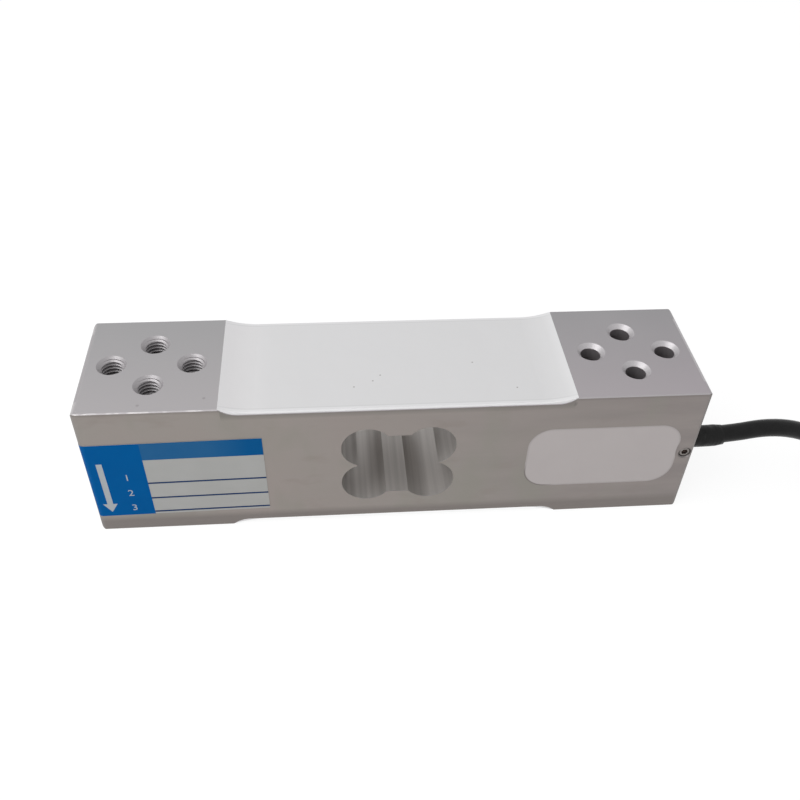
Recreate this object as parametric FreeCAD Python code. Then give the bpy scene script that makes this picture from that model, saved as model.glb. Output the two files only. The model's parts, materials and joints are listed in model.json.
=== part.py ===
import FreeCAD, Part
import math
import os

# A single point load cell: an aluminium bending beam with strain gauges under a silicone coat, a sealed pocket
# with its bridge board, and a four-core cable that is put away as a tied hank.
# Millimetres. X runs along the beam towards the cable, the front face looks to -Y, Z is up.
# The origin is at the middle of the beam's underside.

V = FreeCAD.Vector

# ---- Beam ----
beam_length = 150.0
beam_width = 34.0
beam_height = 40.0
edge_chamfer = 0.25  # along the beam
end_edge_r = 1.5  # round both end faces
pad_length = 33.0  # the flat mounting pad at each end, above and below
recess_depth = 1.9  # of the shallow recess between the pads, above and below
recess_blend_r = 6.3  # cutter radius between the recess's floor and a pad

# ---- Four-lobe opening of the bending section ----
lobe_r = 6.3
lobe_x = 7.7  # each side of the beam's middle
lobe_z = 5.9  # above and below the beam's mid height
web_slot_height = 19.6  # of the slot that joins the left and right lobes

# ---- Mounting holes: two pairs that cross, at each end ----
pair_x = 19.0  # distance between the holes on the beam's centre line
pair_y = 15.0  # distance between the holes across it
pattern_inset = 16.5  # from the end face to the middle of the pattern
thread_r = 3.0
thread_depth = 18.0
pilot_r = 2.5
mouth_r = 3.55  # of the countersink at both mouths of a hole

# ---- Pocket in the front face ----
pocket_length = 38.5
pocket_height = 20.0
pocket_corner_r = 6.0
pocket_end_wall = 4.65  # metal between the pocket and the end face
pocket_floor_wall = 1.0  # metal between the pocket and the nearest thread
wire_way_r = 1.2

# ---- Cable, its sleeve and its clamp screw ----
cable_r = 2.3
cable_behind_floor = 0.3  # from the pocket's floor to the cable's axis, so that the cores come out over the floor
bore_depth = 11.0
sleeve_wall = 0.5
sleeve_fit = 0.1  # round the sleeve in its bore
sleeve_outside = 9.0
sleeve_taper = 2.0
screw_r = 1.5
screw_fit = 0.05
screw_inset = 2.4  # from the end face to the screw's axis
screw_sunk = 0.4
screw_mouth_r = 1.75
socket_across_flats = 1.5
socket_depth = 1.3

# ---- Coats and label ----
coat_cover = 0.1  # of coat over the highest wire
coat_setback = 0.2  # from the front and back faces
coat_meniscus_r = 25.0  # where the coat climbs to the pads
coat_bevel = 0.3
label_length = 41.0
label_height = 25.0
label_bottom = 5.6
label_thickness = 0.1

# ---- Gauges, terminal strips and their wires ----
gauge_length = 9.0
gauge_width = 6.0
gauge_backing = 0.1
grid_height = 0.05
grid_length = 4.4
grid_bars = 5
grid_pitch = 0.8
grid_bar_width = 0.4
grid_inset = 0.6  # from the end of the backing
tab_length = 1.4
tab_width = 1.6
tab_pitch = 3.0  # between the middles of a gauge's two tabs
strip_inset = 11.0  # from the strip's middle to the wire way's axis
strip_length = 8.0
strip_width = 3.0
strip_thickness = 0.08  # of its film, and of the copper on it
strip_wires = 4
strip_pitch = 1.8
jumper_r = 0.1
bridge_wire_r = 0.15
bridge_wire_pitch = 0.5  # in the wire way

# ---- Bridge board ----
board_length = 22.0
board_height = 14.0
board_thickness = 0.8
board_inset = 6.5  # from the pocket's inner end
pad_margin = 1.6  # from a board edge to the middle of its solder pads
pad_pitch = 3.0
pad_r = 0.8  # half of a solder pad's side
pad_height = 0.3
resistor_length = 3.2
resistor_width = 1.6
resistor_height = 0.6
resistors = 3
resistor_pitch = 5.0
core_r = 0.45
core_sides = 8
core_offset = 0.6  # from the cable's axis to each core's

# ---- Cable's free run and hank ----
jacket_start = 4.5  # inside the end face
fold_radii = 3.0  # radius of the hank's inner folds, in cable diameters
hank_straight = 66.0
hank_columns = 2
hank_layers = 4
hank_lap = 8.0  # how far the cable runs beside the hank's first fold
last_run = 21.0  # of the topmost turn, past the far fold
tie_width = 2.5
tie_thickness = 0.6
tie_head = 4.5
tie_head_height = 3.2
end_sleeve_length = 10.0
lead_length = 40.0
tip_length = 5.0
tip_r = 0.3


def rise(radius, height):
    """How far an arc that leaves level ground runs before it has risen by height."""
    return math.sqrt(2 * radius * height - height**2)


# ---- Worked out from the sizes above ----
half_length = beam_length / 2
front = -beam_width / 2
mid_z = beam_height / 2
recess_half = half_length - pad_length
recess_floor = beam_height - recess_depth
coat_thickness = 2 * strip_thickness + 2 * bridge_wire_r + coat_cover
pocket_depth = beam_width / 2 - pair_y / 2 - thread_r - pocket_floor_wall
pocket_floor = front + pocket_depth
pocket_end = half_length - pocket_end_wall
pocket_start = pocket_end - pocket_length
cable_inset = pocket_depth + cable_behind_floor
cable_y = front + cable_inset
sleeve_r = cable_r + sleeve_wall
bore_r = sleeve_r + sleeve_fit
recess_foot = recess_half - rise(recess_blend_r, recess_depth)  # where the recess's floor ends
way_x = (pocket_start + recess_foot) / 2  # the wire way joins the pocket to the recess's floor
way_y = front + pocket_depth / 2
strip_x = way_x - strip_inset
board_start = pocket_start + board_inset
board_end = board_start + board_length
board_front = pocket_floor - board_thickness
cable_d = 2 * cable_r

# The cable's free run, from inside its bore to the hank: chosen by hand, as it falls and settles.
cable_route = [
    V(half_length - jacket_start, cable_y, mid_z),
    V(84.0, cable_y, mid_z),
    V(98.0, cable_y, 23.0),
    V(111.5, -11.5, 18.6),
    V(125.0, -13.0, 9.2),
    V(138.5, -16.4, cable_r),
    V(151.0, -18.4, cable_r),
]
fold_r = fold_radii * cable_d
hank_half_width = fold_r + (hank_columns - 0.5) * cable_d
hank_start = cable_route[-1].x + hank_lap
hank_end = hank_start + hank_straight
hank_y = cable_route[-1].y + fold_r + (hank_columns - 1) * cable_d
hank_base = tie_thickness
hank_top = hank_base + hank_layers * cable_d
jacket_end = hank_end - last_run


def box(low, high):
    return Part.makeBox(high.x - low.x, high.y - low.y, high.z - low.z, low)


def prism(outline, push):
    """The solid between a closed outline, given as its edges in order, and the same outline moved by push."""
    return Part.Face(Part.Wire(outline)).extrude(push)


def line(a, b):
    return Part.LineSegment(a, b).toShape()


def fused(shapes):
    return shapes[0].fuse(shapes[1:]).removeSplitter()


def mirrored(shape):
    """The same shape on the beam's underside."""
    return shape.mirror(V(0, 0, mid_z), V(0, 0, 1))


def swept(section, points):
    """A wire's section carried along straight runs, with mitred corners."""
    return Part.makePolygon(points).makePipeShell([section], True, False, 1)


def across(points):
    """Two directions across a wire's first run, which is level: one level, one upright."""
    along = points[1] - points[0]
    along.normalize()
    return along.cross(V(0, 0, 1)), V(0, 0, 1)


def core_wire(points, radius):
    """An insulated core or a bare strand, round in section but for its core_sides flats."""
    side, up = across(points)
    turns = [math.tau * (k + 0.5) / core_sides for k in range(core_sides + 1)]
    corners = [points[0] + side * (radius * math.cos(a)) + up * (radius * math.sin(a)) for a in turns]
    return swept(Part.makePolygon(corners), points)


def fine_wire(points, radius):
    """A wire as fine as a hair, with a square section. Its first run is level."""
    side, up = across(points)
    signs = ((1, 1), (-1, 1), (-1, -1), (1, -1), (1, 1))
    corners = [points[0] + side * (a * radius) + up * (b * radius) for a, b in signs]
    return swept(Part.makePolygon(corners), points)


def rising_arc(radius, level, height, top_x):
    """The arc, in the XZ plane, that leaves level ground and reaches height at top_x, left end first."""
    foot = top_x - rise(radius, height)
    half_turn = math.asin(rise(radius, height) / radius) / 2
    middle = V(foot + radius * math.sin(half_turn), 0, level + radius * (1 - math.cos(half_turn)))
    return V(foot, 0, level), middle, V(top_x, 0, level + height)


def valley(radius, level, height):
    """The three edges of a level floor whose two ends rise in arcs to the pads, left to right."""
    foot, middle, top = rising_arc(radius, level, height, recess_half)
    left_foot, left_middle, left_top = (V(-p.x, p.y, p.z) for p in (foot, middle, top))
    return [
        Part.Arc(left_top, left_middle, left_foot).toShape(),
        line(left_foot, foot),
        Part.Arc(foot, middle, top).toShape(),
    ]


def recess():
    """What the cutter takes out between the upper pads."""
    over = recess_depth
    low = valley(recess_blend_r, recess_floor, recess_depth)
    corners = [V(s * recess_half, 0, beam_height + h) for s, h in ((1, 0), (1, over), (-1, over), (-1, 0))]
    outline = low + [line(a, b) for a, b in zip(corners, corners[1:])]
    cut = prism(outline, V(0, 2 * beam_width, 0))
    cut.translate(V(0, -beam_width, 0))
    return cut


def lobes():
    """The four-lobe opening, front to back."""
    across = V(0, 2 * beam_width, 0)
    drills = [
        Part.makeCylinder(lobe_r, across.y, V(sx * lobe_x, -beam_width, mid_z + sz * lobe_z), across)
        for sx in (-1, 1)
        for sz in (-1, 1)
    ]
    slot = box(
        V(-lobe_x, -beam_width, mid_z - web_slot_height / 2), V(lobe_x, beam_width, mid_z + web_slot_height / 2)
    )
    return fused(drills + [slot])


def hole_places(end):
    """The four hole axes of one end: a pair along the beam and a pair across it."""
    x = end * (half_length - pattern_inset)
    return [(x - pair_x / 2, 0), (x + pair_x / 2, 0), (x, -pair_y / 2), (x, pair_y / 2)]


def tapped_hole(x, y):
    """A hole through the beam, tapped from above and countersunk at both mouths."""
    up = V(0, 0, 1)
    return fused(
        [
            Part.makeCylinder(pilot_r, beam_height, V(x, y, 0), up),
            Part.makeCylinder(thread_r, thread_depth, V(x, y, beam_height - thread_depth), up),
            Part.makeCone(thread_r, mouth_r, mouth_r - thread_r, V(x, y, beam_height - mouth_r + thread_r), up),
            Part.makeCone(mouth_r, pilot_r, mouth_r - pilot_r, V(x, y, 0), up),
        ]
    )


def pocket():
    """The milled pocket, with the corner radius of its cutter."""
    milled = box(
        V(pocket_start, front, mid_z - pocket_height / 2), V(pocket_end, pocket_floor, mid_z + pocket_height / 2)
    )
    inwards = [e for e in milled.Edges if abs(e.BoundBox.YLength - pocket_depth) < 1e-6]
    return milled.makeFillet(pocket_corner_r, inwards)


def cable_bore():
    return Part.makeCylinder(bore_r, bore_depth, V(half_length - bore_depth, cable_y, mid_z), V(1, 0, 0))


def wire_way():
    """The drilling from the pocket up to the recess's floor."""
    return Part.makeCylinder(wire_way_r, recess_floor - mid_z, V(way_x, way_y, mid_z), V(0, 0, 1))


def screw_hole():
    """The tapped hole of the clamp screw, from the front face to the cable's bore."""
    x = half_length - screw_inset
    bevel = screw_mouth_r - screw_r
    return fused(
        [
            Part.makeCylinder(screw_r, cable_inset, V(x, front, mid_z), V(0, 1, 0)),
            Part.makeCone(screw_mouth_r, screw_r, bevel, V(x, front, mid_z), V(0, 1, 0)),
        ]
    )


def block():
    """The block before any hole is cut, rounded round both end faces and chamfered along its length."""
    plain = box(V(-half_length, front, 0), V(half_length, -front, beam_height))
    lengthwise, across, upright = (
        [e for e in plain.Edges if abs(e.tangentAt(e.FirstParameter).dot(axis)) > 0.5]
        for axis in (V(1, 0, 0), V(0, 1, 0), V(0, 0, 1))
    )
    rounded = plain.makeFillet(end_edge_r, upright).common(plain.makeFillet(end_edge_r, across))
    return rounded.common(plain.makeChamfer(edge_chamfer, lengthwise))


def beam():
    holes = [tapped_hole(x, y) for x, y in hole_places(-1)]
    holes += [mirrored(tapped_hole(x, y)) for x, y in hole_places(1)]
    cuts = [recess(), mirrored(recess()), lobes(), pocket(), cable_bore(), screw_hole()]
    return block().cut(cuts + [wire_way(), mirrored(wire_way())] + holes).removeSplitter()


def gauge(side):
    """A foil gauge over one upper lobe: backing film, folded grid and two solder tabs, as one laminate."""
    x = side * lobe_x
    film = box(
        V(x - gauge_length / 2, -gauge_width / 2, recess_floor),
        V(x + gauge_length / 2, gauge_width / 2, recess_floor + gauge_backing),
    )
    foil_low = recess_floor + gauge_backing / 2
    foil_high = recess_floor + gauge_backing + grid_height
    grid_start = x - gauge_length / 2 + grid_inset
    foil = []
    for k in range(grid_bars):
        y = (k - (grid_bars - 1) / 2) * grid_pitch
        foil.append(
            box(
                V(grid_start, y - grid_bar_width / 2, foil_low),
                V(grid_start + grid_length, y + grid_bar_width / 2, foil_high),
            )
        )
    for s in (-1, 1):
        tab = tab_place(side, s)
        half = V(tab_length / 2, tab_width / 2, 0)
        foil.append(box(V(tab.x, tab.y, foil_low) - half, V(tab.x, tab.y, foil_high) + half))
    return fused([film] + foil)


def tab_place(side, s):
    """The top middle of a gauge's solder tab."""
    x = side * lobe_x + gauge_length / 2 - tab_length
    return V(x, s * tab_pitch / 2, recess_floor + gauge_backing + grid_height)


def strip_place(k, s):
    """The top of the strip's copper for wire k, on its near (-1) or far (1) half."""
    y = (k - (strip_wires - 1) / 2) * strip_pitch
    return V(strip_x + s * strip_width / 4, y, recess_floor + 2 * strip_thickness)


def terminal_strip():
    """A glued-down strip of board with one copper land for each wire."""
    base = box(
        V(strip_x - strip_width / 2, -strip_length / 2, recess_floor),
        V(strip_x + strip_width / 2, strip_length / 2, recess_floor + strip_thickness),
    )
    lands = []
    for k in range(strip_wires):
        y = strip_place(k, 0).y
        lands.append(
            box(
                V(strip_x - 0.45 * strip_width, y - 0.35 * strip_pitch, recess_floor + strip_thickness / 2),
                V(strip_x + 0.45 * strip_width, y + 0.35 * strip_pitch, recess_floor + 2 * strip_thickness),
            )
        )
    return fused([base] + lands)


def jumper_wires():
    """Enamelled wires from the gauges' tabs to the strip; those of the far gauge pass beside the near one."""
    level = strip_place(0, 0).z + jumper_r
    wires = []
    for s, inner, outer in ((-1, 1, 0), (1, strip_wires - 2, strip_wires - 1)):
        near, far = tab_place(1, s), tab_place(-1, s)
        beside = s * (gauge_width / 2 + 4 * jumper_r)
        near_end, far_end = strip_place(inner, -1), strip_place(outer, -1)
        wires.append([V(near.x, near.y, level), V(near_end.x, near_end.y, level)])
        wires.append(
            [
                V(far.x, far.y, level),
                V(far.x + 2 * tab_length, beside, level),
                V(near.x + tab_length, beside, level),
                V(far_end.x, far_end.y, level),
            ]
        )
    return Part.makeCompound([fine_wire(points, jumper_r) for points in wires])


def board_pad(k):
    """The top of the board's upper solder pad for gauge wire k."""
    return V(board_start + pad_margin + k * pad_pitch, board_front - pad_height, mid_z + board_height / 2 - pad_margin)


def core_pad(k):
    """The top of the board's end solder pad for cable core k."""
    return V(board_end - pad_margin, board_front - pad_height, mid_z + (k - 1.5) * pad_pitch)


def bridge_wires():
    """Insulated wires from the strip, down the wire way, to the board."""
    wires = []
    for k in range(strip_wires):
        land, pad = strip_place(k, 1), board_pad(k)
        level = land.z + bridge_wire_r
        x = way_x + (k - (strip_wires - 1) / 2) * bridge_wire_pitch
        y = pad.y - 1.2 * bridge_wire_r
        turn_z = mid_z + (pocket_height - pocket_corner_r) / 2 - (strip_wires - k) * 4 * bridge_wire_r
        wires.append([V(land.x, land.y, level), V(x, way_y, level), V(x, way_y, turn_z), V(pad.x, y, pad.z)])
    return Part.makeCompound([fine_wire(points, bridge_wire_r) for points in wires])


def bridge_board():
    return box(
        V(board_start, board_front, mid_z - board_height / 2), V(board_end, pocket_floor, mid_z + board_height / 2)
    )


def solder_pads():
    """Solder pads on the board: a row above, a row below and a column for the cable's cores."""
    tops = [board_pad(k) for k in range(strip_wires)]
    tops += [V(p.x, p.y, 2 * mid_z - p.z) for p in tops]
    tops += [core_pad(k) for k in range(4)]
    half = V(pad_r, 0, pad_r)
    return Part.makeCompound([box(p - half, p + half + V(0, pad_height, 0)) for p in tops])


def trim_resistors():
    """Chip resistors along the middle of the board."""
    chips = []
    for k in range(resistors):
        x = (board_start + board_end) / 2 + (k - 1) * resistor_pitch - pad_margin
        low = V(x - resistor_length / 2, board_front - resistor_height, mid_z - resistor_width / 2)
        chips.append(box(low, low + V(resistor_length, resistor_height, resistor_width)))
    return Part.makeCompound(chips)


def inner_core(k):
    """One core from the cable's end, forward out of the bore and on to its solder pad."""
    side_y, side_z = ((-1, -1), (1, -1), (1, 1), (-1, 1))[k]
    start = V(half_length - jacket_start, cable_y + side_y * core_offset, mid_z + side_z * core_offset)
    out = start - V(2 * core_r, 0, 0)
    pad = core_pad(k)
    forward = V(board_end + 4 * core_r, pad.y - core_r, pad.z)
    return core_wire([start, out, forward, V(pad.x, pad.y - core_r, pad.z)], core_r)


def coat_outline(y, drop):
    """The coat's outline at one depth, with its surface lowered by drop between the pads' edges."""
    thickness = coat_thickness - drop
    low = valley(recess_blend_r, recess_floor, recess_depth)
    high = valley(coat_meniscus_r, recess_floor + thickness, recess_depth - thickness)
    outline = Part.Wire(low + high[::-1])
    outline.translate(V(0, y, 0))
    return outline


def coating(buried):
    """The coat in the upper recess, bevelled front and back, and poured round what is glued and wired there."""
    edge = beam_width / 2 - coat_setback
    stations = [(-edge, coat_bevel), (coat_bevel - edge, 0), (edge - coat_bevel, 0), (edge, coat_bevel)]
    return Part.makeLoft([coat_outline(y, drop) for y, drop in stations], True, True).cut(buried)


def sealant(buried):
    """The potting: all of the pocket and of the bore beyond the sleeve that nothing else takes."""
    bottom = V(half_length - bore_depth, cable_y, mid_z)
    throat = Part.makeCylinder(bore_r, bore_depth - jacket_start, bottom, V(1, 0, 0))
    return fused([pocket(), throat]).cut(buried)


def strain_sleeve(jacket):
    """The shrink sleeve: it follows the cable's first bend and is drawn in at its outer end."""
    start = V(half_length - jacket_start, cable_y, mid_z)
    straight, bend = rounded_path(cable_route).Edges[:2]
    reach = jacket_start + sleeve_outside - sleeve_taper - straight.Length
    bend = bend.Curve.toShape(bend.FirstParameter, bend.FirstParameter + reach / bend.Curve.Radius)
    section = Part.Wire(Part.makeCircle(sleeve_r, start, V(1, 0, 0)))
    body = Part.Wire([straight, bend]).makePipeShell([section], True, False)
    neck, onwards = bend.valueAt(bend.LastParameter), bend.tangentAt(bend.LastParameter)
    drawn_in = Part.makeCone(sleeve_r, cable_r + sleeve_wall / 2, sleeve_taper, neck, onwards)
    return fused([body, drawn_in]).cut(jacket)


def clamp_screw():
    """A socket set screw whose flat point bears on the sleeve."""
    x = half_length - screw_inset
    head, point = front + screw_sunk, cable_y - sleeve_r
    radius = screw_r - screw_fit
    body = Part.makeCylinder(radius, point - head, V(x, head, mid_z), V(0, 1, 0))
    body = body.makeChamfer(0.2, [e for e in body.Edges if e.BoundBox.YLength < 1e-6])
    across_corners = socket_across_flats / math.cos(math.pi / 6)
    hexagon = [
        V(x + across_corners / 2 * math.cos(a), head, mid_z + across_corners / 2 * math.sin(a))
        for a in (math.radians(60 * k) for k in range(7))
    ]
    return body.cut(Part.Face(Part.makePolygon(hexagon)).extrude(V(0, socket_depth, 0)))


def rating_label():
    low = V(-half_length + end_edge_r, front - label_thickness, label_bottom)
    return box(low, low + V(label_length, label_thickness, label_height))


def rounded_path(points):
    """Straight runs joined by tangent arcs, each as large as its two runs allow."""
    edges, start = [], points[0]
    for before, corner, after in zip(points, points[1:], points[2:]):
        back, on = before - corner, after - corner
        reach = 0.45 * min(back.Length, on.Length)
        back.normalize()
        on.normalize()
        half_turn = (math.pi - back.getAngle(on)) / 2
        radius = reach / math.tan(half_turn)
        inwards = back + on
        inwards.normalize()
        middle = corner + inwards * (radius / math.cos(half_turn) - radius)
        edges.append(line(start, corner + back * reach))
        edges.append(Part.Arc(corner + back * reach, middle, corner + on * reach).toShape())
        start = corner + on * reach
    edges.append(line(start, points[-1]))
    return Part.Wire(edges)


def cable_jacket(hank):
    """The free cable, as far as the hank."""
    path = rounded_path(cable_route)
    section = Part.Wire(Part.makeCircle(cable_r, cable_route[0], cable_route[1] - cable_route[0]))
    tube = path.makePipeShell([section], True, False)
    print("cable bend radii:", " ".join(f"{e.Curve.Radius:.1f}" for e in path.Edges[1::2]))
    print(f"cable volume over section times length: {tube.Volume / (math.pi * cable_r**2 * path.Length):.4f}")
    return tube.cut(hank)


def oval(half_width, low, high):
    """An upright slab with straight sides and round ends, about the hank's middle."""
    left, right = hank_start, hank_end
    outline = [
        line(V(left, hank_y - half_width, low), V(right, hank_y - half_width, low)),
        Part.Arc(
            V(right, hank_y - half_width, low), V(right + half_width, hank_y, low), V(right, hank_y + half_width, low)
        ).toShape(),
        line(V(right, hank_y + half_width, low), V(left, hank_y + half_width, low)),
        Part.Arc(
            V(left, hank_y + half_width, low), V(left - half_width, hank_y, low), V(left, hank_y - half_width, low)
        ).toShape(),
    ]
    return prism(outline, V(0, 0, high - low))


def cable_hank():
    """The outer shape of the wound cable: an oval ring of turns, two wide, whose last turn stops short."""
    ring = oval(hank_half_width, hank_base, hank_top)
    ring = ring.cut(oval(fold_r - cable_r, hank_base, hank_top))
    last_layer = hank_top - cable_d
    outer = oval(hank_half_width, last_layer, hank_top).cut(oval(hank_half_width - cable_d, last_layer, hank_top))
    missing = [
        box(
            V(hank_start - hank_half_width, hank_y - hank_half_width, last_layer),
            V(hank_start, hank_y + hank_half_width, hank_top),
        ),
        box(V(hank_start, hank_y, last_layer), V(jacket_end, hank_y + hank_half_width, hank_top)),
    ]
    return ring.cut(outer.common(fused(missing))).removeSplitter()


def hank_tie(x, side):
    """A nylon tie round one side of the hank, with its head on top."""
    inner_y = hank_y + side * (fold_r - cable_r)
    outer_y = hank_y + side * hank_half_width
    low_y, high_y = sorted((inner_y, outer_y))
    band = box(
        V(x - tie_width / 2, low_y - tie_thickness, hank_base - tie_thickness),
        V(x + tie_width / 2, high_y + tie_thickness, hank_top + tie_thickness),
    ).cut(box(V(x - tie_width, low_y, hank_base), V(x + tie_width, high_y, hank_top)))
    head_low = V(x - tie_head / 2, (low_y + high_y - tie_head) / 2, hank_top)
    head = box(head_low, head_low + V(tie_head, tie_head, tie_head_height))
    return fused([band, head])


def end_sleeve():
    """The shrink sleeve where the cores leave the jacket; it lies on the turn below."""
    axis_y, axis_z = hank_y + hank_half_width - cable_r, hank_top - cable_r
    return Part.makeCylinder(cable_r, end_sleeve_length, V(jacket_end, axis_y, axis_z), V(-1, 0, 0))


def lead_points(k):
    """The middle line of lead k: out of the end sleeve, down on to the turn below and along it."""
    axis_y, axis_z = hank_y + hank_half_width - cable_r, hank_top - cable_r
    x, y = jacket_end - end_sleeve_length, axis_y + (k - 2) * 2 * core_r
    lie_z = hank_top - cable_d + core_r
    fall = axis_z - lie_z
    out, over, down = V(x, y, axis_z), V(x - 2 * core_r, y, axis_z), V(x - 4 * core_r - 2 * fall, y, lie_z)
    return [out, over, down, V(x - lead_length, y, lie_z)]


def lead(k):
    return core_wire(lead_points(k), core_r)


def lead_tip(k):
    end = lead_points(k)[-1]
    return core_wire([end, end - V(tip_length, 0, 0)], tip_r)


def pieces():
    """Every node's name and shape."""
    made = {"beam": beam()}
    made["gauge_top_inner"] = gauge(1)
    made["gauge_top_outer"] = gauge(-1)
    made["terminal_strip_top"] = terminal_strip()
    made["jumper_wires_top"] = jumper_wires()
    made["bridge_wires_top"] = bridge_wires()
    under_coat = list(made.values())[1:]
    made["top_coating"] = coating(under_coat)
    for name in [n for n in made if "top" in n]:
        made[name.replace("top", "bottom")] = mirrored(made[name])

    hank = cable_hank()
    made["cable_jacket"] = cable_jacket(hank)
    made["strain_sleeve"] = strain_sleeve(made["cable_jacket"])
    made["clamp_screw"] = clamp_screw()
    made["bridge_board"] = bridge_board()
    made["solder_pads"] = solder_pads()
    made["trim_resistors"] = trim_resistors()
    for k, colour in enumerate(("red", "green", "white", "black")):
        made["core_" + colour] = inner_core(k)
    potted = [shape for name, shape in made.items() if name != "beam" and "coating" not in name]
    made["pocket_sealant"] = sealant(potted)

    made["rating_label"] = rating_label()
    made["cable_hank"] = hank
    made["hank_ties"] = Part.makeCompound(
        [hank_tie((hank_start + hank_end) / 2, -1), hank_tie((jacket_end + hank_end) / 2, 1)]
    )
    made["end_sleeve"] = end_sleeve()
    for k, colour in enumerate(("red", "green", "white", "black")):
        made["lead_" + colour] = lead(k)
    made["shield_drain"] = lead(4)
    made["lead_tips"] = Part.makeCompound([lead_tip(k) for k in range(4)])
    return made


os.makedirs("parts", exist_ok=True)
for node, shape in pieces().items():
    shape.exportStep(f"parts/{node}.step")
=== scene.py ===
import bmesh
import bpy
import json
import math
from mathutils import Matrix, Vector


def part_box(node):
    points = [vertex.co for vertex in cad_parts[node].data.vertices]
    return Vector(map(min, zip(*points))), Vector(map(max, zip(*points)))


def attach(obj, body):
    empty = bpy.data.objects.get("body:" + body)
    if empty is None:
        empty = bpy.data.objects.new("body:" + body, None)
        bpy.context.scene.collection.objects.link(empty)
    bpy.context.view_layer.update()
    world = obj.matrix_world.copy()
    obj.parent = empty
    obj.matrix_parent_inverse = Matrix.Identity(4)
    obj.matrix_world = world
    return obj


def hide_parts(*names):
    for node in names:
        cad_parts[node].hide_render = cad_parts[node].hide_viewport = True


# A single point load cell: an aluminium beam with white silicone coats, a potted bridge board, a
# rating label and a black four-core cable, whose spare length is folded into a tied hank. Metres,
# in the frame of the CAD part.
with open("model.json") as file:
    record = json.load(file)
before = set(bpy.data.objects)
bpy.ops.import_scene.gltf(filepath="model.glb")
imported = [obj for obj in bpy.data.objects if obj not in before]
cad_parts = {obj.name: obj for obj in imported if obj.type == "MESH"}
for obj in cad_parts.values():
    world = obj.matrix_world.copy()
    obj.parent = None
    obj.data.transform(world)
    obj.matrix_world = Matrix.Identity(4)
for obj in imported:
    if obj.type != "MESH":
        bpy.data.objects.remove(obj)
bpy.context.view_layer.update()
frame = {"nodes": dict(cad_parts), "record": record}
nodes = frame["nodes"]
MM = 0.001

# ---- Camera ----
# A normal lens, close by. It looks down on the front of the beam from a little to the left, and is
# slightly rolled.
camera_azimuth, camera_elevation, camera_roll = (math.radians(a) for a in (-6.27, 42.21, 2.34))
camera_distance = 227.7 * MM
camera_target = Vector((1.61, 0, 25.76)) * MM

backwards = Vector(
    (
        math.sin(camera_azimuth) * math.cos(camera_elevation),
        -math.cos(camera_azimuth) * math.cos(camera_elevation),
        math.sin(camera_elevation),
    )
)
level = Vector((0, 0, 1)).cross(backwards).normalized()
upright = backwards.cross(level)
right = math.cos(camera_roll) * level + math.sin(camera_roll) * upright
upwards = backwards.cross(right)
camera = bpy.data.objects.new("camera", bpy.data.cameras.new("camera"))
bpy.context.scene.collection.objects.link(camera)
camera.matrix_world = Matrix.Translation(camera_target + backwards * camera_distance) @ (
    Matrix((right, upwards, backwards)).transposed().to_4x4()
)
camera.data.sensor_width = 36
camera.data.lens = 40.07
camera.data.clip_start = 5 * MM
bpy.context.scene.camera = camera


# ---- Hank ties ----
# Two moulded black nylon ties hold the put-away cable. Each is pulled tight round one side of the
# hank: a flat band with rounded corners, the square locking head on top and the tail cut off a
# little beyond it.
class Tap:
    """An output of a shader node, which Python's operators can work on."""

    def __init__(self, tree, socket=None):
        self.tree, self.socket = tree, socket

    def node(self, kind, sockets=None, out=0, **settings):
        """Adds a node: first its settings, then the values or links of its sockets."""
        new = self.tree.nodes.new(kind)
        for key, value in settings.items():
            setattr(new, key, value)
        for key, value in (sockets or {}).items():
            if isinstance(value, Tap):
                self.tree.links.new(value.socket, new.inputs[key])
            else:
                new.inputs[key].default_value = value
        return Tap(self.tree, new.outputs[out])

    def maths(self, operation, *values):
        return self.node("ShaderNodeMath", dict(enumerate(values)), operation=operation)

    def __add__(self, other):
        return self.maths("ADD", self, other)

    def __sub__(self, other):
        return self.maths("SUBTRACT", self, other)

    def __rsub__(self, other):
        return self.maths("SUBTRACT", other, self)

    def __mul__(self, other):
        return self.maths("MULTIPLY", self, other)

    def __gt__(self, other):
        return self.maths("GREATER_THAN", self, other)

    def __lt__(self, other):
        return self.maths("LESS_THAN", self, other)

    __radd__, __rmul__ = __add__, __mul__

    def size(self):
        return self.maths("ABSOLUTE", self)

    def within(self, low, high):
        """0 below low, 1 above high, and even between them."""
        limits = {"Value": self, "From Min": low, "From Max": high}
        return self.node("ShaderNodeMapRange", limits, clamp=True)

    def place(self):
        return self.node("ShaderNodeTexCoord", out="Object")

    def facing(self):
        return self.node("ShaderNodeNewGeometry", out="True Normal")

    def axis(self, name):
        return self.node("ShaderNodeSeparateXYZ", {"Vector": self}, out=name)

    def stretched(self, x, y, z):
        factors = {0: self, 1: (x, y, z)}
        return self.node("ShaderNodeVectorMath", factors, operation="MULTIPLY")

    def noise(self, scale, detail):
        """Clouds whose size is about 1 / scale metres, from 0 to 1."""
        settings = {"Vector": self, "Scale": scale, "Detail": detail, "Roughness": 0.55}
        return self.node("ShaderNodeTexNoise", settings)

    def near(self, point, reach, full=0.6):
        """1 close to a point given in metres, up to full of its reach, and 0 from reach on."""
        ends = {0: self, 1: point}
        away = self.node("ShaderNodeVectorMath", ends, out="Value", operation="DISTANCE")
        return away.within(reach, full * reach)

    def mixed(self, first, second):
        """A colour between two, by this share."""
        first, second = ((*c, 1) if isinstance(c, tuple) else c for c in (first, second))
        ends = {"Factor": self, 6: first, 7: second}
        return self.node("ShaderNodeMix", ends, data_type="RGBA", out=2)

    def bumps(self, height, normal=None):
        """A normal for hills of height metres where this is 1."""
        sockets = {"Height": self, "Distance": height, "Strength": 1.0}
        if normal:
            sockets["Normal"] = normal
        return self.node("ShaderNodeBump", sockets)


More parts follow.
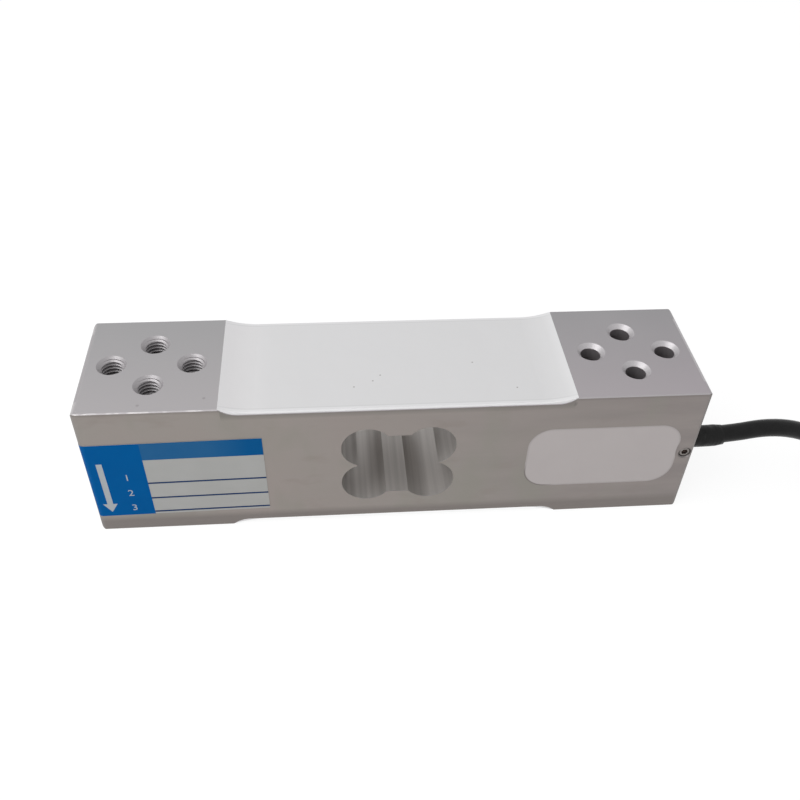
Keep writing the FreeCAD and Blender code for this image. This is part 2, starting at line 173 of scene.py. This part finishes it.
def finish(name, constants, varying):
    """A material: constants by socket, and varying(tap) gives the sockets that change over it."""
    material = bpy.data.materials.new(name)
    material.use_nodes = True
    skin = material.node_tree.nodes["Principled BSDF"]
    for socket, value in constants.items():
        skin.inputs[socket].default_value = value
    for socket, tap in varying(Tap(material.node_tree)).items():
        material.node_tree.links.new(tap.socket, skin.inputs[socket])
    return material


def plastic(name, colour, worn, roughness, grain, constants=None):
    """A moulded or extruded plastic, worn paler in soft patches, grained every 1 / grain metres."""

    def skin(tap):
        place = tap.place()
        wear = place.noise(grain / 8, 4).within(0.45, 0.75)
        fine = place.noise(grain, 2)
        return {
            "Base Color": wear.mixed(colour, worn),
            "Roughness": roughness + wear * 0.12 + fine * 0.08,
            "Normal": fine.bumps(0.00002),
        }

    return finish(name, {"Specular IOR Level": 0.5, **(constants or {})}, skin)


def made(name, shape, slot, *materials):
    """An object of a bmesh, in the frame, riding on the beam."""
    bmesh.ops.recalc_face_normals(shape, faces=shape.faces)
    mesh = bpy.data.meshes.new(name)
    shape.to_mesh(mesh)
    shape.free()
    for material in materials:
        mesh.materials.append(material)
    piece = bpy.data.objects.new(name, mesh)
    bpy.context.scene.collection.objects.link(piece)
    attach(piece, "root")
    return piece


def ring(shape, loop, closed=True):
    """Skins the sections of a loop, or of a run with two ends; each is a closed row of points."""
    rows = [[shape.verts.new(point) for point in section] for section in loop]
    for before, after in zip(rows, rows[1:] + rows[:1] if closed else rows[1:]):
        for n in range(len(before)):
            m = (n + 1) % len(before)
            shape.faces.new((before[n], before[m], after[m], after[n]))
    if not closed:
        shape.faces.new(rows[0][::-1])
        shape.faces.new(rows[-1])


def block(shape, low, high):
    """A rectangular block between two corners, in metres."""
    corners = [(low.x, low.y), (high.x, low.y), (high.x, high.y), (low.x, high.y)]
    floor_and_lid = [[Vector((x, y, z)) for x, y in corners] for z in (low.z, high.z)]
    ring(shape, floor_and_lid, closed=False)


def millimetres(*values):
    return Vector(values) * MM


cable_d = 4.6 * MM
hank_start, hank_end, hank_lift = 159 * MM, 225 * MM, 0.6 * MM
layers = 4
inner_fold = 3 * cable_d
tie_places = [(192 * MM, -1), (214.5 * MM, 1)]
band_width, band_thickness, band_steps = 2.5 * MM, 0.6 * MM, 28
head_size, head_height, lid_depth, lid_rise = 4.5 * MM, 3.2 * MM, 0.3 * MM, 0.7 * MM
tail_start, tail_end, tail_top = 1 * MM, 4.2 * MM, 1.6 * MM
ties = bmesh.new()
for tie_x, side in tie_places:
    middle_y, middle_z = side * (inner_fold + cable_d / 2), hank_lift + layers / 2 * cable_d
    corner_r = (cable_d + band_thickness) / 2
    reach_y = cable_d + band_thickness / 2 - corner_r
    reach_z = layers / 2 * cable_d + band_thickness / 2 - corner_r
    band = []
    for step in range(band_steps):
        angle = math.tau * (step + 0.5) / band_steps
        out = Vector((0, math.cos(angle), math.sin(angle)))
        corner_y = middle_y + math.copysign(reach_y, out.y)
        corner_z = middle_z + math.copysign(reach_z, out.z)
        corner = Vector((tie_x, corner_y, corner_z))
        inner, outer = (corner + out * (corner_r + s * band_thickness / 2) for s in (-1, 1))
        across = Vector((band_width / 2, 0, 0))
        band.append([inner - across, inner + across, outer + across, outer - across])
    ring(ties, band)
    centre = Vector((tie_x, middle_y, hank_lift + layers * cable_d + band_thickness / 2))
    head = Vector((head_size / 2, head_size / 2, 0))
    rise = Vector((0, 0, head_height - band_thickness / 2))
    block(ties, centre - head, centre + head + rise)
    window = Vector((0.3 * head_size, 0.22 * head_size, 0))
    lid = centre + rise - Vector((0, 0, lid_depth))
    block(ties, lid - window, lid + window + Vector((0, 0, lid_rise)))
    tail = Vector((band_width / 2, 0, 0))
    tail_low = centre - tail + Vector((0, tail_start, tail_start))
    block(ties, tail_low, centre + tail + Vector((0, tail_end, tail_top)))
black_nylon = plastic(
    "black_nylon",
    (0.007, 0.007, 0.008),
    (0.018, 0.018, 0.019),
    roughness=0.38,
    grain=3000,
    constants={"Specular IOR Level": 0.25},
)
nylon_ties = made("nylon_ties", ties, "black_nylon", black_nylon)
softened = nylon_ties.modifiers.new("moulded_edges", "BEVEL")
softened.width, softened.segments, softened.limit_method = 0.12 * MM, 2, "ANGLE"
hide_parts("hank_ties")

# ---- Cable ----
# A round black PVC cable, 4.6 mm across with four cores and a drain wire. It leaves the end face in
# a shrink sleeve, falls to the table and is folded into a hank of eight turns, two wide and four
# high, held by two ties.
free_run = [
    millimetres(70.5, -11.2, 20),
    millimetres(84, -11.2, 20),
    millimetres(98, -11.2, 23),
    millimetres(111.5, -11.5, 18.6),
    millimetres(125, -13, 9.2),
    millimetres(138.5, -16.4, 2.3),
    millimetres(151, -18.4, 2.3),
]
fold_points = 8
jacket_end = 204 * MM
front_points = [hank_start + 6 * MM, 178 * MM, 203 * MM]
back_points = [206 * MM, 181 * MM, 165 * MM]
last_points = [214 * MM, jacket_end]
# Each turn's column, 0 inner and 1 outer, and its layer: the winding crosses over at the left fold.
turns = [(1, 0), (0, 0), (0, 1), (1, 1), (1, 2), (0, 2), (0, 3), (1, 3)]


def turn_size(k):
    column, layer = turns[k]
    return inner_fold + column * cable_d, hank_lift + (layer + 0.5) * cable_d


def fold(centre_x, centre_y, first_angle, radius, height):
    """Control points round a half circle, at height(share) above the table."""
    points = []
    for n in range(fold_points):
        share = (n + 0.5) / fold_points
        angle = first_angle + share * math.pi
        reach = radius / math.cos(math.pi / fold_points / 2)
        x, y = centre_x + reach * math.cos(angle), centre_y + reach * math.sin(angle)
        points.append(Vector((x, y, height(share))))
    return points


def crossover(k):
    """The left fold from turn k to the next; where it climbs a layer it keeps clear of others."""
    (radius, z), (next_radius, next_z) = turn_size(k), turn_size(k + 1)
    clear = (0.5 - turns[k][0]) * cable_d if z != next_z else 0

    def height(share):
        return z + (next_z - z) * share * share * (3 - 2 * share)

    middle, mean_radius = (radius - next_radius) / 2, (radius + next_radius) / 2
    return fold(hank_start + clear, middle, math.pi / 2, mean_radius, height)


wound = []
for k in range(len(turns)):
    radius, z = turn_size(k)
    last = k == len(turns) - 1
    wound += [Vector((x, -radius, z)) for x in front_points]
    wound += fold(hank_end, 0, -math.pi / 2, radius, lambda share: z)
    wound += [Vector((x, radius, z)) for x in (last_points if last else back_points)]
    if not last:
        wound += crossover(k)

cable_curve = bpy.data.curves.new("signal_cable", "CURVE")
cable_curve.dimensions = "3D"
cable_curve.bevel_depth = cable_d / 2
cable_curve.bevel_resolution = 5
cable_curve.resolution_u = 8
cable_curve.use_fill_caps = True
strand = cable_curve.splines.new("NURBS")
strand.points.add(len(free_run) + len(wound) - 1)
for point, place in zip(strand.points, free_run + wound):
    point.co = (*place, 1)
strand.order_u = 3
strand.use_endpoint_u = True
signal_cable = bpy.data.objects.new("signal_cable", cable_curve)
bpy.context.scene.collection.objects.link(signal_cable)
black_pvc = plastic(
    "black_pvc",
    (0.003, 0.003, 0.003),
    (0.006, 0.006, 0.006),
    roughness=0.24,
    grain=5200,
    constants={"Specular IOR Level": 0.2},
)
cable_curve.materials.append(black_pvc)

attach(signal_cable, "root")
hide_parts("cable_jacket", "cable_hank")


# ---- Shrink sleeves ----
# Black polyolefin tube, shrunk by hot air over the cable at the beam, where it follows the first
# bend with fine cross wrinkles, and over the cut end of the jacket.
def dress(node, material):
    """Puts a finish on a CAD node's own surface."""
    nodes[node].data.materials.clear()
    nodes[node].data.materials.append(material)


def shrink_skin(tap):
    place = tap.place()
    wrinkles = place.stretched(2, 0.8, 0.8).noise(170, 2)
    fine = place.noise(2600, 3)
    return {
        "Base Color": fine.mixed((0.004, 0.004, 0.004), (0.009, 0.009, 0.009)),
        "Roughness": 0.3 + fine * 0.2,
        "Normal": wrinkles.bumps(0.0008, fine.bumps(0.00003)),
    }


black_shrink = finish("black_shrink", {"Specular IOR Level": 0.18}, shrink_skin)
for node in ("strain_sleeve", "end_sleeve"):
    dress(node, black_shrink)


# ---- Cores, drain and tips ----
# Four coloured PVC cores, inside the pocket from the cable to the board and outside as the free
# leads, with the twisted drain wire beside them. Their stripped ends are dipped in solder.
core_colours = {
    "red": ((0.46, 0.010, 0.010), (0.52, 0.030, 0.025)),
    "green": ((0.010, 0.150, 0.040), (0.020, 0.190, 0.060)),
    "white": ((0.70, 0.70, 0.67), (0.60, 0.60, 0.57)),
    "black": ((0.010, 0.010, 0.010), (0.024, 0.024, 0.025)),
}
for colour, (fresh, worn) in core_colours.items():
    insulation = plastic(colour + "_core", fresh, worn, 0.34, 2400)
    dress("core_" + colour, insulation)
    dress("lead_" + colour, insulation)


def solder_skin(tap):
    place = tap.place()
    ripples = place.noise(2200, 3)
    return {
        "Base Color": ripples.mixed((0.50, 0.50, 0.51), (0.66, 0.66, 0.67)),
        "Roughness": 0.25 + ripples * 0.2,
        "Normal": ripples.bumps(0.00006),
    }


tinned_copper = finish("tinned_copper", {"Metallic": 1.0}, solder_skin)
for node in ("shield_drain", "lead_tips", "solder_pads"):
    dress(node, tinned_copper)


# ---- Beam ----
# One block of aluminium, milled all over, with a drilled and slotted four-lobe opening, tapped and
# countersunk mounting holes and a fine matt skin. Cutter marks run from front to back inside the
# opening, with painted reflection bands along them. The long edges carry a painted highlight.
beam_low, beam_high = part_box("beam")
half_width, half_height = beam_high.y, beam_high.z / 2
coat_half, coat_foot, coat_edge = 41.5 * MM, 36.5 * MM, 37.9 * MM
opening_half, opening_reach = 14.5 * MM, 12.5 * MM
foot_top, foot_bottom = 5.2 * MM, 3.2 * MM
hole_start, hole_side = 44 * MM, 12.5 * MM
mark_size = 0.45 * MM
handling_marks = [(-60, -14.6, 40), (-45.2, -12.8, 40), (41.6, -17, 38.4), (41.5, -17, 37.9)]


def aluminium_skin(tap):
    place = tap.place()
    facing = tap.facing()
    x, y, z = (place.axis(name) for name in "XYZ")
    level_face = facing.axis("Z").size().within(0.75, 0.97)
    clouds = place.stretched(1, 1, 0.7).noise(38, 3)
    bands = place.stretched(0.25, 1, 1.6).noise(160, 3).within(0.3, 0.7)
    grain = place.noise(6500, 2)
    rightwards, backwards = x.within(-30 * MM, 70 * MM), y.within(-half_width, half_width)
    # Painted light: the pads are painted lighter and bluer than the front and the ends, and painted
    # darker towards the back and the right, for how the light falls on them.
    pads = backwards.mixed(
        rightwards.mixed((0.415, 0.396, 0.404), (0.376, 0.342, 0.362)),
        rightwards.mixed((0.344, 0.340, 0.345), (0.298, 0.290, 0.298)),
    )
    pads = (clouds.within(0.3, 0.8) * 0.3).mixed(pads, (0.395, 0.378, 0.388))
    left = clouds.within(0.35, 0.65).mixed((0.300, 0.262, 0.243), (0.288, 0.268, 0.243))
    sides = rightwards.mixed(left, (0.234, 0.208, 0.200))
    sides = (bands * 0.5).mixed(sides, (0.300, 0.268, 0.250))
    smudges = place.stretched(1, 1, 2.2).noise(75, 4).within(0.56, 0.72)
    sides = (smudges * 0.35).mixed(sides, (0.225, 0.190, 0.172))
    greenish = place.stretched(1.6, 1, 0.8).noise(48, 3).within(0.5, 0.68)
    sides = (greenish * 0.5).mixed(sides, (0.246, 0.240, 0.206))
    # Painted shade: the front and the ends are darker along the foot, near the table.
    foot_shade = z.within(foot_top, foot_bottom)
    sides = foot_shade.mixed(sides, (0.200, 0.178, 0.166))
    # Painted shadow on the front face just under the coats' edge.
    coat_shadow = (x.size() < coat_half) * z.within(coat_foot, coat_edge) * 0.6
    sides = coat_shadow.mixed(sides, (0.170, 0.160, 0.145))
    burr_shade = z.within(39.0 * MM, 39.4 * MM) * 0.4
    sides = burr_shade.mixed(sides, (0.180, 0.160, 0.150))
    tilted = facing.axis("Z").size().within(0.2, 0.5)
    end_shade = facing.axis("X").size().within(0.1, 0.4) * 0.35
    sides = end_shade.mixed(sides, (0.190, 0.178, 0.172))
    # Painted highlight on the chamfered edges, broken into brighter glints on the left.
    glints = place.stretched(1, 0.3, 0.3).noise(240, 2).within(0.5, 0.62)
    glints = glints * x.within(0, -35 * MM)
    edge_highlight = glints.mixed((0.380, 0.362, 0.370), (0.530, 0.512, 0.512))
    skin = level_face.mixed(tilted.mixed(sides, edge_highlight), pads)
    # Painted shade in the mouth of the screw's bore.
    screw_mouth_shade = place.near((72.6 * MM, -half_width, half_height), 1.9 * MM, 0.93) * 0.8
    skin = screw_mouth_shade.mixed(skin, (0.130, 0.115, 0.110))
    marks = sum(place.near(tuple(millimetres(*mark)), mark_size) for mark in handling_marks)
    skin = (marks * 0.28).mixed(skin, (0.10, 0.09, 0.085))
    # Streaks inside the opening: cutter marks, and painted reflection bands along them.
    streaks_and_reflections = place.stretched(1, 0.02, 1).noise(620, 2).within(0.25, 0.75)
    inside = y.size() < half_width - 0.1 * MM
    opening = (x.size() < opening_half) * inside * ((z - half_height).size() < opening_reach)
    in_hole = (x.size() > hole_start) * (y.size() < hole_side) * (facing.axis("Z").size() < 0.97)
    cones = grain.within(0.3, 0.7).mixed((0.400, 0.385, 0.395), (0.520, 0.500, 0.510))
    cones = ((x < 0) * 0.6).mixed(cones, (0.310, 0.296, 0.304))
    # Painted shade on the bores' upright walls.
    holes_with_shaded_bores = (facing.axis("Z").size() < 0.1).mixed(cones, (0.250, 0.230, 0.240))
    milled = streaks_and_reflections.mixed((0.36, 0.34, 0.325), (0.52, 0.495, 0.475))
    return {
        "Base Color": opening.mixed(in_hole.mixed(skin, holes_with_shaded_bores), milled),
        "Roughness": 0.42 + grain * 0.1,
        "Normal": (grain * 0.6 + streaks_and_reflections * opening * 0.4).bumps(0.00001),
    }


metal_constants = {"Metallic": 0.6, "Specular IOR Level": 0.5}
aluminium = finish("machined_aluminium", metal_constants, aluminium_skin)
dress("beam", aluminium)

# ---- Threads ----
# M6 threads, cut by a tap 18 mm deep: from above in the left-hand holes, from below in the
# right-hand ones. Their crests are cut back where the countersink runs out.
thread_pitch, thread_turns, thread_steps = 1.0 * MM, 17.2, 36
thread_root, thread_crest, mouth_depth = 3.0 * MM, 2.5 * MM, 0.55 * MM
crest_half, root_half = 0.125, 0.4375
thread_section = [
    (-root_half, thread_root),
    (-crest_half, thread_crest),
    (crest_half, thread_crest),
    (root_half, thread_root),
]
first_turn, into_wall = 0.4 * MM, 0.02 * MM


def wind_thread(shape, hole_x, hole_y, side):
    """Winds the thread of one hole, down from the top for side 1 and up from below for -1."""
    run = []
    for step in range(int(thread_turns * thread_steps)):
        turned = step / thread_steps
        angle = -side * math.tau * turned
        section = []
        for along, radius in thread_section:
            depth = max(mouth_depth, (turned + along) * thread_pitch + first_turn)
            if radius == thread_root:
                radius += into_wall
            radius = max(radius, thread_root + mouth_depth - depth)
            x, y = hole_x + radius * math.cos(angle), hole_y + radius * math.sin(angle)
            section.append(Vector((x, y, half_height + side * (half_height - depth))))
        run.append(section)
    ring(shape, run, closed=False)


threads = bmesh.new()
for pair in frame["record"]["mounts"]:
    if pair["kind"] == "bolt_pattern":
        middle_x, middle_y, _ = pair["pos_m"]
        reach_x, reach_y = (pair["dims"].get(f"spacing_{name}_mm", 0) / 2 * MM for name in "xy")
        for end in (-1, 1):
            hole_x, hole_y = middle_x + end * reach_x, middle_y + end * reach_y
            wind_thread(threads, hole_x, hole_y, pair["axis"][2])
cut_threads = made("cut_threads", threads, "machined_aluminium", aluminium)


# ---- Clamp screw ----
# A steel socket set screw that clamps the sleeve in its bore. Its ring is dull and its socket lies
# deep.
def screw_skin(tap):
    place = tap.place()
    deep = place.axis("Y").within(-0.0165, -0.0160)
    rubbed = place.noise(2500, 3)
    ring_colour = rubbed.mixed((0.15, 0.135, 0.13), (0.30, 0.28, 0.265))
    return {
        "Base Color": deep.mixed(ring_colour, (0.32, 0.275, 0.26)),
        "Roughness": 0.28 + rubbed * 0.2,
        "Normal": rubbed.bumps(0.00003),
    }


dress("clamp_screw", finish("steel", {"Metallic": 1.0}, screw_skin))


# ---- Gauges, strips and their wires ----
# Foil gauges on amber film, glued over the lobes, and small terminal strips with copper lands. All
# of this lies under the coats.
def layered(name, low, high, level):
    """Two laminated layers, told apart by how far they lie from the beam's mid height."""

    def skin(tap):
        place = tap.place()
        upper = (place.axis("Z") - half_height).size() > level
        patches = place.noise(2600, 3)
        return {
            "Base Color": upper.mixed(patches.mixed(low, tuple(0.8 * c for c in low)), high),
            "Roughness": 0.5 - upper * 0.18,
            "Metallic": upper * 0.9,
            "Normal": patches.bumps(0.00001),
        }

    return finish(name, {}, skin)


gauge_film = layered("gauge_film", (0.52, 0.20, 0.02), (0.50, 0.47, 0.42), 0.018205)
strip_board = layered("strip_board", (0.04, 0.16, 0.05), (0.75, 0.50, 0.36), 0.018185)
enamel = plastic(
    "enamelled_copper",
    (0.42, 0.12, 0.035),
    (0.50, 0.18, 0.06),
    roughness=0.3,
    grain=4000,
    constants={"Metallic": 0.7},
)
for face in ("top", "bottom"):
    dress("gauge_" + face + "_inner", gauge_film)
    dress("gauge_" + face + "_outer", gauge_film)
    dress("terminal_strip_" + face, strip_board)
    dress("jumper_wires_" + face, enamel)
    dress("bridge_wires_" + face, enamel)


# ---- Coats ----
# White silicone, poured into the shallow recess above and below over the gauges. It levels itself,
# climbs to the pads at both ends and rounds over in a bead along the front and the back, with a
# painted highlight on the bead and at the ends and a line of painted shade just inside the bead.
# Specks of dust have settled on it.
speck_size, coat_level = 0.26 * MM, 38.7
specks = [(19, -1.2), (-4, -5), (-5.9, -7), (-10.5, -9), (28.5, -11), (39.5, -9)]


def silicone_skin(tap):
    place = tap.place()
    waves = place.noise(60, 3)
    grain = place.noise(3000, 2)
    leftmost = place.axis("X").within(-30 * MM, -40 * MM)
    white = leftmost.mixed((0.712, 0.709, 0.711), (0.775, 0.762, 0.766))
    dust = sum(place.near(tuple(millimetres(x, y, coat_level)), speck_size) for x, y in specks)
    white = (waves * 0.4).mixed(white, (0.735, 0.733, 0.735))
    x, y = place.axis("X").size(), place.axis("Y").size()
    # Painted highlight on the bead and at the coat's ends, and painted shade in a line just inside
    # the bead.
    bead_highlight = y.within(15.65 * MM, 15.9 * MM)
    bead_hollow_shade = y.within(15.3 * MM, 15.55 * MM) * (1 - bead_highlight)
    white = (bead_hollow_shade * 0.5).mixed(white, (0.62, 0.62, 0.62))
    lip_highlight = tap.maths("MAXIMUM", bead_highlight * 0.55, x.within(39.5 * MM, 41.8 * MM) * 0.4)
    white = lip_highlight.mixed(white, (0.815, 0.81, 0.815))
    return {
        "Base Color": (dust * 0.8).mixed(white, (0.30, 0.28, 0.27)),
        "Roughness": 0.42 - bead_highlight * 0.1 + waves * 0.1,
        "Normal": waves.bumps(0.0003, grain.bumps(0.000008)),
    }


white_silicone = finish("white_silicone", {"Specular IOR Level": 0.4}, silicone_skin)
for node in ("top_coating", "bottom_coating"):
    dress(node, white_silicone)


# ---- Bridge board ----
# A small board with green solder resist and three black chip resistors, glued to the pocket's floor
# under the potting.
green_board = plastic("green_board", (0.010, 0.100, 0.030), (0.016, 0.130, 0.045), 0.35, 3000)
resistor_body = plastic("resistor_body", (0.014, 0.014, 0.016), (0.05, 0.05, 0.052), 0.4, 4000)
dress("bridge_board", green_board)
dress("trim_resistors", resistor_body)


# ---- Potting ----
# A pale grey compound, poured flush with the front face over the bridge board. It has shrunk a hair
# from the pocket's rim, most at one corner, where the gap is painted as a thin line of shade, and
# stops a little short beside the screw.
corner = 6 * MM
pocket_middle_x, pocket_half_length, pocket_half_height = 51.1 * MM, 19.25 * MM, 10 * MM


def potting_skin(tap):
    place = tap.place()
    clouds = place.noise(90, 3)
    grain = place.noise(2500, 3)
    past_x, past_z = (
        tap.maths("MAXIMUM", (place.axis(name) - middle).size() - (half - corner), 0)
        for name, middle, half in (
            ("X", pocket_middle_x, pocket_half_length),
            ("Z", half_height, pocket_half_height),
        )
    )
    from_middle = past_x * past_x + past_z * past_z
    # Painted shade: a thin dark line along the rim, strongest at one corner.
    rim = from_middle.within((corner - 0.5 * MM) ** 2, (corner - 0.2 * MM) ** 2)
    at_corner = place.near((33.5 * MM, -half_width, 11.5 * MM), 7 * MM)
    gap_shade = rim * (at_corner * 0.6 + 0.2)
    short = place.near((78.8 * MM, -half_width, 21.3 * MM), 8.9 * MM, 0.98)
    grey = clouds.mixed((0.436, 0.400, 0.396), (0.460, 0.428, 0.420))
    grey = gap_shade.mixed(grey, (0.12, 0.10, 0.09))
    return {
        "Base Color": short.mixed(grey, (0.225, 0.200, 0.192)),
        "Roughness": 0.6 + grain * 0.15,
        "Normal": (clouds * 0.7 + grain * 0.3).bumps(0.00005),
    }


grey_potting = finish("grey_potting", {"Specular IOR Level": 0.35}, potting_skin)
dress("pocket_sealant", grey_potting)

# ---- Rating label ----
# A white film sticker, stuck on slightly askew and pressed round the edge of the beam. A blue
# column with the load arrow and row numbers, a blue head band and thin rules are printed on it; the
# rows themselves are blank. This section works in millimetres.
beam_end_x, front_y = beam_low.x / MM, beam_low.y / MM
end_round = 1.5
label_length, label_height, film = 42.35, 24.65, 0.1
label_x, label_z, label_tilt = -74.55, 5.35, math.radians(0.88)
ink, ink_foot = 0.012, film - 0.01
ink_top = film + ink
column_width, band_foot = 13.85, 19.15
rule_heights, half_rule = (11.15, 5.85, 0.85), 0.26
shaft_left, shaft_right, shaft_foot, shaft_top = 2.8, 4.2, 4.3, 18.45
arrow_head = [(1.75, 4.35), (3.5, 1.45), (5.25, 4.35)]
numeral_u, numeral_size, numeral_heights = 9.2, 3.0, {1: 13.3, 2: 7.9, 3: 2.6}
wrapped = [0.15 * n for n in range(1, 11)]  # stations over the end's rounding
FILM, COLUMN, BAND, RULE, ARROW = range(5)


def on_front(u, v, lift):
    """A point over the front face: u along the label's lower edge and v up from it."""
    x = label_x + u * math.cos(label_tilt) - v * math.sin(label_tilt)
    z = label_z + u * math.sin(label_tilt) + v * math.cos(label_tilt)
    past = max(0, end_round + beam_end_x - x)
    y = front_y + end_round - math.sqrt(end_round**2 - past**2) - lift
    return millimetres(x, y, z)


def painted(shape, start, colour):
    """Gives a colour to the faces made since there were start of them."""
    shape.faces.ensure_lookup_table()
    for face in shape.faces[start:]:
        face.material_index = colour


def printed(shape, us, low_v, high_v, foot_shade, top, colour):
    """A closed patch of film or ink through the stations us, between two heights off the face."""
    start = len(shape.faces)
    corners = [(low_v, foot_shade), (high_v, foot_shade), (high_v, top), (low_v, top)]
    ring(shape, [[on_front(u, v, lift) for v, lift in corners] for u in us], closed=False)
    painted(shape, start, colour)


label = bmesh.new()
printed(label, [0] + wrapped + [label_length], 0, label_height, 0, film, FILM)
printed(label, [0] + wrapped + [column_width], 0, label_height, ink_foot, ink_top, COLUMN)
beside_column = [column_width, label_length]
printed(label, beside_column, band_foot, label_height, ink_foot, ink_top, BAND)
for rule_v in rule_heights:
    printed(label, beside_column, rule_v - half_rule, rule_v + half_rule, ink_foot, ink_top, RULE)
shaft = [shaft_left, shaft_right]
printed(label, shaft, shaft_foot, shaft_top, ink_foot, ink_top + ink, ARROW)
start = len(label.faces)
lifts = (ink_foot, ink_top + 1.5 * ink)
ring(label, [[on_front(u, v, lift) for u, v in arrow_head] for lift in lifts], closed=False)
painted(label, start, ARROW)
for number, number_v in numeral_heights.items():
    numeral = bpy.data.curves.new("numeral", "FONT")
    numeral.body, numeral.size, numeral.extrude = str(number), numeral_size * MM, ink * MM
    numeral.align_x, numeral.align_y, numeral.resolution_u = "CENTER", "CENTER", 4
    holder = bpy.data.objects.new("numeral", numeral)
    drawn = bpy.data.meshes.new_from_object(holder)
    drawn.transform(
        Matrix.Translation(on_front(numeral_u, number_v, ink_top))
        @ Matrix.Rotation(-label_tilt, 4, "Y")
        @ Matrix.Rotation(math.pi / 2, 4, "X")
    )
    start = len(label.faces)
    label.from_mesh(drawn)
    painted(label, start, ARROW)
    bpy.data.objects.remove(holder)
    bpy.data.curves.remove(numeral)
    bpy.data.meshes.remove(drawn)


def printing(name, colour, faded, gloss=0.12, faded_to=None):
    """Printed film with faint clouds and a satin skin, faded left of faded_to if that is given."""

    def skin(tap):
        place = tap.place()
        clouds = place.noise(120, 3)
        fibres = place.noise(4500, 2)
        share = clouds.within(0.3, 0.7)
        if faded_to:
            leftwards = place.axis("X").within(faded_to, faded_to - 9 * MM)
            share = (share * 0.3 + 0.7) * leftwards
        return {
            "Base Color": share.mixed(colour, faded),
            "Roughness": 0.36 + fibres * 0.12,
            "Normal": fibres.bumps(0.00001, clouds.bumps(0.0001)),
        }

    return finish(name, {"Specular IOR Level": gloss}, skin)


label_inks = [
    printing("label_film", (0.368, 0.368, 0.356), (0.388, 0.388, 0.378)),
    printing("column_ink", (0.0, 0.086, 0.280), (0.0, 0.094, 0.300), 0.02),
    printing("band_ink", (0.003, 0.085, 0.250), (0.024, 0.115, 0.262), 0.02, -36 * MM),
    printing("rule_ink", (0.006, 0.026, 0.090), (0.010, 0.032, 0.105)),
    printing("arrow_ink", (0.40, 0.43, 0.45), (0.37, 0.40, 0.42)),
]
rating_plate = made("printed_label", label, "label_film", *label_inks)
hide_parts("rating_label")


# ---- Floor, world and lamps ----
# A white sweep and soft light from all round, brighter from above and from the left.
def sweep_skin(tap):
    clouds = tap.place().noise(3, 2)
    return {"Base Color": clouds.mixed((0.93, 0.93, 0.93), (0.95, 0.95, 0.95))}


def seen_directly(tap):
    """1 for what the camera sees, straight or in a gloss or through glass."""
    kinds = ("Camera", "Glossy", "Transmission")
    return sum(tap.node("ShaderNodeLightPath", out=f"Is {kind} Ray") for kind in kinds).within(0, 1)


reach = 3.0
floor_mesh = bpy.data.meshes.new("floor")
floor_corners = [(-reach, -reach, 0), (reach, -reach, 0), (reach, reach, 0), (-reach, reach, 0)]
floor_mesh.from_pydata(floor_corners, [], [(0, 1, 2, 3)])
floor = bpy.data.objects.new("floor", floor_mesh)
bpy.context.scene.collection.objects.link(floor)
floor_material = finish("white_sweep", {"Roughness": 0.9, "Specular IOR Level": 0.0}, sweep_skin)
floor_mesh.materials.append(floor_material)
tree = floor_material.node_tree
tap = Tap(tree)
glow = tap.node("ShaderNodeEmission", {"Color": (1, 1, 1, 1), "Strength": 1.1})
lit = Tap(tree, tree.nodes["Principled BSDF"].outputs[0])
shown = tap.node("ShaderNodeMixShader", {0: seen_directly(tap) * 0.78, 1: lit, 2: glow})
tree.links.new(shown.socket, tree.nodes["Material Output"].inputs["Surface"])

world = bpy.data.worlds.new("studio")
bpy.context.scene.world = world
world.use_nodes = True
air = Tap(world.node_tree)
climb = air.node("ShaderNodeTexCoord", out="Generated").axis("Z").within(-0.2, 1.0)
sky = climb.mixed((0.36, 0.36, 0.36), (0.56, 0.56, 0.57))
sky = seen_directly(air).mixed(sky, (1.0, 1.0, 1.0))
backdrop = world.node_tree.nodes["Background"]
world.node_tree.links.new(sky.socket, backdrop.inputs["Color"])
backdrop.inputs["Strength"].default_value = 1.0


def lamp(name, place, size, power):
    """A soft square lamp that looks at the beam."""
    light = bpy.data.lights.new(name, "AREA")
    light.size, light.energy = size, power
    holder = bpy.data.objects.new(name, light)
    holder.location = place
    holder.rotation_euler = (-Vector(place)).to_track_quat("-Z", "Y").to_euler()
    bpy.context.scene.collection.objects.link(holder)


lamp("softbox_above", (-0.55, -0.2, 0.8), 0.7, 4.4)
lamp("softbox_front", (-0.5, -0.9, 0.5), 0.6, 2.6)

bpy.context.scene.view_settings.view_transform = "Standard"
bpy.context.view_layer.update()
